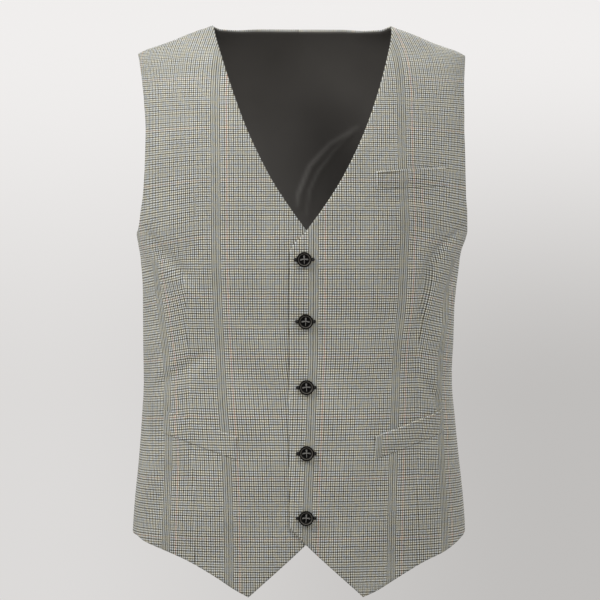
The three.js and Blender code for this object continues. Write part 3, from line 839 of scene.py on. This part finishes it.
def easedBackSkin(side, bearing, height):
    points = backSkin(side, bearing, height)  # the armhole's upper edge stands in behind the front's
    across = side * points[..., 0]
    upper = smoothStep(-112, -80, points[..., 2]) * (1 - smoothStep(-36, -16, points[..., 2]))
    points[..., 0] -= side * cloth["armholeEase"] * upper * smoothStep(120, 176, across)
    return points


def backPoints(side, flip=1.0):
    bearing, height = backGrid(side)
    points = easedBackSkin(side, bearing, height)
    normals = gridNormals(points)
    across = side * points[..., 0]
    lift = creaseHeight(backCreases, across * flip, height)
    points[:, -1, 2] += cloth["neckRise"] * (1 - smoothStep(40, 84, across[:, -1]))
    edge = np.minimum(np.arange(len(points)), 5)[:, None] / 5
    return points + normals * (lift * edge)[..., None], bearing


for side, name, node in ((1, "leftBack", "back_left"), (-1, "rightBack", "back_right")):
    points, bearing = backPoints(side, 1.0 if side > 0 else 0.96)

    def clothAt(zone, side=side, points=points, bearing=bearing):
        return backClothPlace(side, bearing, points[..., 2])

    # painted highlight on the two top rows of each back, along the turned neck edge
    paintedLight = np.zeros(points.shape[:2])
    paintedLight[:, -2:] = cloth["neckPaintedLight"]
    mesh = shellMesh(name, points, cloth["backWall"], clothAt, freeEdgeRound(False), turnedRows=1, paintedLight=paintedLight)
    piece = addPiece(name, mesh, checkCloth, liningSatin)
    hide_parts(node)
print("backs")

liningCreases = [  # as across and height, inward only
    {"path": [(75, -101), (42, -121), (17, -148), (2, -183), (2, -198)], "depth": 1.3, "reach": 4.0},
    {"path": [(66, -109), (46, -129), (26, -156), (16, -178), (12, -208)], "depth": 0.8, "reach": 3.4},
    {"path": [(-60, -40), (-20, -66), (40, -74)], "depth": 0.5, "reach": 16},
    {"path": [(-70, -120), (-40, -170), (-30, -230)], "depth": 0.5, "reach": 14},
]
liningShine = [  # the light along the two main creases
    {"path": [(73, -100), (40, -120), (15, -147), (1, -182), (0, -196)], "depth": 0.9, "reach": 2.8},
    {"path": [(65, -108), (45, -128), (25, -155), (15, -177), (11, -207)], "depth": 0.5, "reach": 2.2},
]


def liningPoints():
    whole = []
    hemRows = int(np.argmin(np.abs(rows[0] - levels["height"][1])))
    for side in (-1, 1):
        bearing, height = backGrid(side)
        points = easedBackSkin(side, bearing, height)
        points[..., 0] -= side * cloth["seamGap"] / 2
        points[:, -1] += (points[:, -2] - points[:, -1]) * cloth["liningTopShare"]
        normals = gridNormals(points)
        short = int(round(backColumns["split"] * cloth["liningShort"]))
        points = points - normals * (cloth["backWall"] + cloth["liningGap"])
        points = points[:len(points) - 1 - short, hemRows:]
        normals = normals[:len(normals) - 1 - short, hemRows:]
        lift = creaseHeight(liningCreases, points[..., 0], points[..., 2])
        points = points - normals * lift[..., None]
        whole.append(points[::-1] if side < 0 else points[1:])
    return np.concatenate(whole)


def plainRound(i, j, columns, count):
    return np.full(len(i), 0.2)


points = liningPoints()
mesh = shellMesh("backLining", points, cloth["liningWall"],
                 lambda zone: (points[..., 0] / 100, points[..., 2] / 100), plainRound,
                 paintedLight=creaseHeight(liningShine, points[..., 0], points[..., 2]))
piece = addPiece("backLining", mesh, liningSatin, liningSatin)
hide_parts("back_lining")
print("lining")

# welts

# each welt also lists a painted highlight along its top edge and a painted shadow line under it, as share along the
# welt and amount
welts = {
    "breastWelt": {"node": "breast_welt", "side": 1, "size": (0.094, 0.0235), "area": 0.0021,
                   "foot": [(80.3, -181.5), (164.9, -176)], "top": [(80.3, -161.2), (164.9, -155.2)],
                   "lean": [1.6, 1.0, 0.5, 0.8, 0.2], "wall": [0.25, 1.8], "ends": [0.03, 0.03], "shift": (1, 0),
                   "paintedHighlight": {"share": [0, 0.5, 0.75, 1], "much": [0.7, 0.15, 0.3, 0.8]},
                   "paintedShade": {"share": [0, 0.02, 0.25, 0.4, 1], "much": [0, 1.5, 1.3, 0.15, 0.5]}},
    "leftHipWelt": {"node": "hip_welt_left", "side": 1, "size": (0.100, 0.0285), "area": 0.0027,
                    "foot": [(80.5, -493.2), (164.2, -464.7)], "top": [(80.5, -467.2), (164.2, -438.2)],
                    "lean": [0.4, 0.7, 1.2, 2.6, 0.3], "wall": [0.3, 1.8], "ends": [0, 0.06], "shift": (1.194, 1.8),
                    "paintedHighlight": {"share": [0, 0.5, 1], "much": [0.35, 0.3, 0.15]},
                    "paintedShade": {"share": [0, 0.6, 1], "much": [0.1, 0.1, 0.7]}},
    "rightHipWelt": {"node": "hip_welt_right", "side": -1, "size": (0.100, 0.0285), "area": 0.0027,
                     "foot": [(80.5, -493.2), (164.2, -464.7)], "top": [(80.5, -467.2), (164.2, -438.2)],
                     "lean": [0.3, 0.1, 0, 0, 0], "wall": [0.5, 0.7], "ends": [0, 0.1], "shift": (1, -12),
                     "paintedHighlight": {"share": [0, 0.2, 0.3, 1], "much": [0.5, 0.4, 0, 0]},
                     "paintedShade": {"share": [0, 1], "much": [0, 0]}},
}
weltGrid = {"along": 90, "up": 24}


def skinAt(side, across, height):
    bearing = bearingAt(side, across, height)
    points = frontSkin(side, bearing, height)
    e = 0.5
    sideways = frontSkin(side, bearing + e, height) - frontSkin(side, bearing - e, height)
    upwards = frontSkin(side, bearing, height + e) - frontSkin(side, bearing, height - e)
    normals = np.cross(sideways, upwards) * side
    normals /= np.linalg.norm(normals, axis=-1, keepdims=True)
    lift = creaseHeight(frontCreases[side], across, height)
    return points + normals * lift[..., None], normals


for name, look in welts.items():
    side = look["side"]
    s = np.linspace(0, 1, weltGrid["along"])[:, None]
    t = np.linspace(0, 1, weltGrid["up"])[None, :]
    foot, top = np.array(look["foot"]), np.array(look["top"])
    place = (foot[0] + (foot[1] - foot[0]) * s[..., None]) * (1 - t[..., None])
    place = place + (top[0] + (top[1] - top[0]) * s[..., None]) * t[..., None]
    across, height = place[..., 0], place[..., 1]
    points, normals = skinAt(side, across, height)
    leanAt = {"share": [0, 0.25, 0.5, 0.8, 1], "lean": look["lean"]}
    lean = readColumn(leanAt, "share", s, "lean") * t ** 2
    wall = look["wall"][0] + (look["wall"][1] - look["wall"][0]) * smoothStep(0, 0.5, t)
    first, last = look["ends"]
    flat = (1 - smoothStep(0, first, s) if first else 0) + (smoothStep(1 - last, 1, s) if last else 0)
    wall = wall + (cloth["weltEnd"] - wall) * flat
    lean = lean * (1 - flat)
    points = points + normals * (cloth["seamGap"] + wall + lean)[..., None]

    def clothAt(zone, side=side, across=across, height=height, shift=look["shift"]):
        u, v = frontClothPlace(side, bearingAt(side, across, height), across, height, 0)
        return u * shift[0] + shift[1], v

    fromTop = (1 - t) * (weltGrid["up"] - 1)
    # painted highlight along the welt's top edge, and a painted shadow line about two rows below it
    light = readColumn(look["paintedHighlight"], "share", s, "much") * (1 - smoothStep(0.8, 1.8, fromTop))
    dark = readColumn(look["paintedShade"], "share", s, "much") * np.exp(-((fromTop - 2.2) / 0.7) ** 2)
    mesh = shellMesh(name, points, wall, clothAt,
                     lambda i, j, columns, count: np.full(len(i), 0.35), paintedLight=light - dark)
    piece = addPiece(name, mesh, checkCloth, checkCloth)
    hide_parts(look["node"])
print("welts")

# buttons

button = {
    "places": [(-2.9, -262.4), (-0.9, -333.9), (0.2, -410.2), (0.2, -486.2), (-0.2, -561.1)],
    "profile": [(0, 0), (6.2, 0), (7.4, 0.35), (8.2, 0.9), (8.65, 1.5), (8.75, 2.0), (8.65, 2.6), (8.35, 3.1),
                (7.9, 3.38), (7.4, 3.42), (6.9, 3.28), (6.45, 2.95), (6.1, 2.5), (5.6, 2.2), (4.5, 2.1),
                (2.8, 2.05), (0, 2.05)],
    "turns": 72,
    "holeRadius": 1.15,
    "holeOffset": 3.4,
    "rimHighlight": (6.0, 6.4, 6.8, 7.3),
    "lift": 0.7,
    "tilt": [3, -2, 4, 1, -3],
}


def latheMesh(name, profile, turns):
    verts, faces = [], []
    for radius, height in profile:
        if radius == 0:
            verts.append((0, 0, height * mm))
            continue
        for k in range(turns):
            a = 2 * math.pi * k / turns
            verts.append((radius * mm * math.cos(a), radius * mm * math.sin(a), height * mm))
    last = len(verts) - 1
    for ring in range(len(profile) - 3):
        for k in range(turns):
            a, b = 1 + ring * turns + k, 1 + ring * turns + (k + 1) % turns
            faces.append((a, b, b + turns, a + turns))
    for k in range(turns):
        faces.append((0, 1 + (k + 1) % turns, 1 + k))
        top = last - turns
        faces.append((last, top + k, top + (k + 1) % turns))
    mesh = bpy.data.meshes.new(name)
    mesh.from_pydata(verts, [], faces)
    return mesh


def buttonMesh():
    body = bpy.data.objects.new("buttonBody", latheMesh("buttonBody", button["profile"], button["turns"]))
    bpy.context.scene.collection.objects.link(body)
    cutters = []
    for k in range(4):
        turn = k * math.pi / 2
        profile = [(0, -3), (button["holeRadius"], -3), (button["holeRadius"], 6), (0, 6)]
        cutter = bpy.data.objects.new("holeCutter", latheMesh("holeCutter", profile, 20))
        offset = button["holeOffset"] * mm
        cutter.location = (offset * math.cos(turn), offset * math.sin(turn), 0)
        bpy.context.scene.collection.objects.link(cutter)
        cut = body.modifiers.new("hole%d" % k, "BOOLEAN")
        cut.operation = "DIFFERENCE"
        cut.object = cutter
        cutters.append(cutter)
    bpy.context.view_layer.update()
    shaped = body.evaluated_get(bpy.context.evaluated_depsgraph_get())
    mesh = bpy.data.meshes.new_from_object(shaped)
    for extra in [body, *cutters]:
        bpy.data.objects.remove(extra)
    mesh.shade_smooth()
    mesh.set_sharp_from_angle(angle=math.radians(38))
    # mask of the painted rim highlight, a ring between these radii
    inStart, inWhole, outWhole, outEnd = button["rimHighlight"]
    out = np.array([math.hypot(v.co.x, v.co.y) for v in mesh.vertices]) / mm
    rimHighlight = smoothStep(inStart, inWhole, out) * (1 - smoothStep(outWhole, outEnd, out))
    mesh.attributes.new("rimHighlight", "FLOAT", "POINT").data.foreach_set("value", rimHighlight.astype(np.float32))
    return mesh


def tubeMesh(name, paths, radius, sides=10, closed=False, ends=0.55):
    verts, faces = [], []
    for path in paths:
        path = [Vector(p) for p in path]
        count = len(path)
        base = len(verts)
        for k, point in enumerate(path):
            before = path[(k - 1) % count] if closed else path[max(k - 1, 0)]
            after = path[(k + 1) % count] if closed else path[min(k + 1, count - 1)]
            along = (after - before).normalized()
            across = along.cross(Vector((0, 0, 1)))
            across = across.normalized() if across.length > 1e-9 else Vector((1, 0, 0))
            upward = across.cross(along).normalized()
            size = radius * (ends if not closed and k in (0, count - 1) else 1)
            for m in range(sides):
                a = 2 * math.pi * m / sides
                verts.append(point + (across * math.cos(a) + upward * math.sin(a)) * size)
        rings = count if closed else count - 1
        for k in range(rings):
            low, high = base + k * sides, base + ((k + 1) % count) * sides
            for m in range(sides):
                n = (m + 1) % sides
                faces.append((low + m, low + n, high + n, high + m))
        if not closed:
            faces.append(tuple(base + m for m in range(sides - 1, -1, -1)))
            faces.append(tuple(base + (count - 1) * sides + m for m in range(sides)))
    mesh = bpy.data.meshes.new(name)
    mesh.from_pydata([tuple(v) for v in verts], [], faces)
    mesh.shade_smooth()
    return mesh


def buttonFrame(place, turn):
    across, height = np.array([place[0]]), np.array([place[1]])
    spot, normal = skinAt(1, across, height)
    normal = Vector(normal[0])
    sideways = Vector((0, 0, 1)).cross(normal).normalized()
    upward = normal.cross(sideways)
    frameMatrix = Matrix((sideways, upward, normal)).transposed().to_4x4()
    frameMatrix = Matrix.Translation(Vector(spot[0]) * mm) @ frameMatrix
    return frameMatrix @ Matrix.Rotation(math.radians(turn), 4, "Z")


def threadPaths():
    top = (button["lift"] + 2.05) * mm
    low = 0.4 * mm
    far = button["holeOffset"] * mm
    paths = []
    for k, strands in enumerate((2, 2, 2, 1)):  # right, up, left, down
        turn = k * math.pi / 2
        for strand in range(strands):
            shift = (strand - (strands - 1) / 2) * 0.62 * mm
            sx, sy = -math.sin(turn) * shift, math.cos(turn) * shift
            path = []
            for n in range(9):
                t = n / 8
                rise = (0.75 - 0.35 * t ** 2) * mm
                path.append((far * 1.3 * t * math.cos(turn) + sx * (0.5 + t), 0.7 * mm * (1 - t)
                             + far * 1.3 * t * math.sin(turn) + sy * (0.5 + t), top + rise))
            path.append((far * 1.32 * math.cos(turn) + sx, far * 1.32 * math.sin(turn) + sy, low))
            paths.append(path)
    return paths


buttonHole = {"half": 11.2, "slot": 1.05, "thread": 0.85, "stitches": 92}


def buttonHolePath(matrix):
    spine, count = [], buttonHole["stitches"]
    half, slot = buttonHole["half"], buttonHole["slot"]
    inverse = matrix.inverted()
    corners = [(-half, -slot), (half, -slot), (half, slot), (-half, slot), (-half, -slot)]
    length = 4 * (half + slot)
    for k in range(count):
        at, side = k / count * length, 0
        while at > math.dist(corners[side], corners[side + 1]):
            at -= math.dist(corners[side], corners[side + 1])
            side += 1
        share = at / math.dist(corners[side], corners[side + 1])
        x = corners[side][0] + (corners[side + 1][0] - corners[side][0]) * share
        y = corners[side][1] + (corners[side + 1][1] - corners[side][1]) * share
        flat = matrix @ Vector((x * mm, y * mm, 0))
        on, normal = skinAt(1, np.array([flat.x / mm]), np.array([flat.z / mm]))
        rise = 0.25 + (0.12 if k % 2 else 0)
        spine.append(inverse @ (Vector(on[0] + normal[0] * rise) * mm))
    return spine


bodyMesh = buttonMesh()
threads = tubeMesh("buttonThreads", threadPaths(), 0.42 * mm)
for number, place in enumerate(button["places"], 1):
    matrix = buttonFrame(place, 0)
    turned = matrix @ Matrix.Rotation(math.radians(button["tilt"][number - 1]), 4, "Z")
    mesh = bodyMesh.copy()
    mesh.transform(turned @ Matrix.Translation((0, 0, button["lift"] * mm)))
    piece = addPiece("button%d" % number, mesh, buttonBlack)
    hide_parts("button_%d" % number)
    mesh = threads.copy()
    mesh.transform(turned)
    piece = addPiece("buttonThread%d" % number, mesh, buttonThread)
    mesh = tubeMesh("buttonHole%d" % number, [buttonHolePath(matrix)], buttonHole["thread"] * mm, 8, True)
    mesh.transform(matrix)
    piece = addPiece("buttonHole%d" % number, mesh, holeThread)
print("buttons")

# room, light, camera

room = {
    "floorHeight": -1.45,
    "floorRadius": 9.0,
    "fadeFrom": 2.2,
    "fadeTo": 5.6,
    "floorColour": (0.70, 0.69, 0.68),
    "skyTop": (0.872, 0.856, 0.848),
    "skyLow": (0.525, 0.513, 0.502),
    "ambient": 0.54,
}


def floorDisc():
    verts, faces = [(0, 0, room["floorHeight"])], []
    steps = 96
    for k in range(steps):
        a = 2 * math.pi * k / steps
        verts.append((room["floorRadius"] * math.cos(a), room["floorRadius"] * math.sin(a), room["floorHeight"]))
        faces.append((0, 1 + k, 1 + (k + 1) % steps))
    mesh = bpy.data.meshes.new("floor")
    mesh.from_pydata(verts, [], faces)
    floor = bpy.data.objects.new("floor", mesh)
    bpy.context.scene.collection.objects.link(floor)
    material, tree, shader = newMaterial("floorPaint")
    place = tree.nodes.new("ShaderNodeTexCoord")
    length = tree.nodes.new("ShaderNodeVectorMath")
    length.operation = "LENGTH"
    tree.links.new(place.outputs["Object"], length.inputs[0])
    shader.inputs["Base Color"].default_value = (*room["floorColour"], 1)
    shader.inputs["Roughness"].default_value = 0.9
    tree.links.new(ramp(tree, length.outputs["Value"], room["fadeFrom"], room["fadeTo"], 1.0, 0.0),
                   shader.inputs["Alpha"])
    mesh.materials.append(material)


def skyWorld():
    world = bpy.data.worlds.new("studio")
    bpy.context.scene.world = world
    world.use_nodes = True
    tree = world.node_tree
    back = tree.nodes["Background"]
    place = tree.nodes.new("ShaderNodeTexCoord")
    parts = tree.nodes.new("ShaderNodeSeparateXYZ")
    tree.links.new(place.outputs["Generated"], parts.inputs[0])
    amount = calc(tree, "MULTIPLY", ramp(tree, parts.outputs[2], -0.06, 0.09, 1.0, 0.0),
                  ramp(tree, parts.outputs[0], -0.06, 0.15, 0.45, 1.0))
    colour = blend(tree, amount, room["skyTop"], room["skyLow"])
    tree.links.new(colour, back.inputs["Color"])
    lights = tree.nodes.new("ShaderNodeLightPath")
    strength = ramp(tree, lights.outputs["Is Camera Ray"], 0.0, 1.0, room["ambient"], 1.0)
    tree.links.new(strength, back.inputs["Strength"])


def areaLight(name, place, aim, size, energy, spread):
    data = bpy.data.lights.new(name, "AREA")
    data.shape = "DISK"
    data.size = size
    data.energy = energy
    data.spread = math.radians(spread)
    light = bpy.data.objects.new(name, data)
    light.location = place
    light.rotation_mode = "QUATERNION"
    light.rotation_quaternion = (Vector(aim) - Vector(place)).to_track_quat("-Z", "Y")
    bpy.context.scene.collection.objects.link(light)


floorDisc()
skyWorld()
areaLight("keyLight", (-2.0, -1.05, 1.25), (0, 0, 0.08), 0.9, 9.6, 84)
areaLight("backLight", (0.9, 2.6, 1.3), (0, 0, -0.2), 1.6, 16, 100)
areaLight("frontLight", (1.3, -1.5, 1.5), (0.07, 0, 0.12), 1.2, 5.6, 80)

bpy.context.scene.view_settings.view_transform = "Standard"
camera = {"azimuth": -2.75, "elevation": 1.0, "distance": 3.0, "target": (-0.002, 0, -0.311), "focal": 2508.7}
lens = bpy.data.cameras.new("camera")
lens.sensor_width = 36
lens.lens = camera["focal"] * lens.sensor_width / 600
eye = bpy.data.objects.new("camera", lens)
bpy.context.scene.collection.objects.link(eye)
a, e = math.radians(camera["azimuth"]), math.radians(camera["elevation"])
back = Vector((math.sin(a) * math.cos(e), -math.cos(a) * math.cos(e), math.sin(e)))
eye.location = Vector(camera["target"]) + back * camera["distance"]
eye.rotation_mode = "QUATERNION"
eye.rotation_quaternion = (-back).to_track_quat("-Z", "Y")
bpy.context.scene.camera = eye
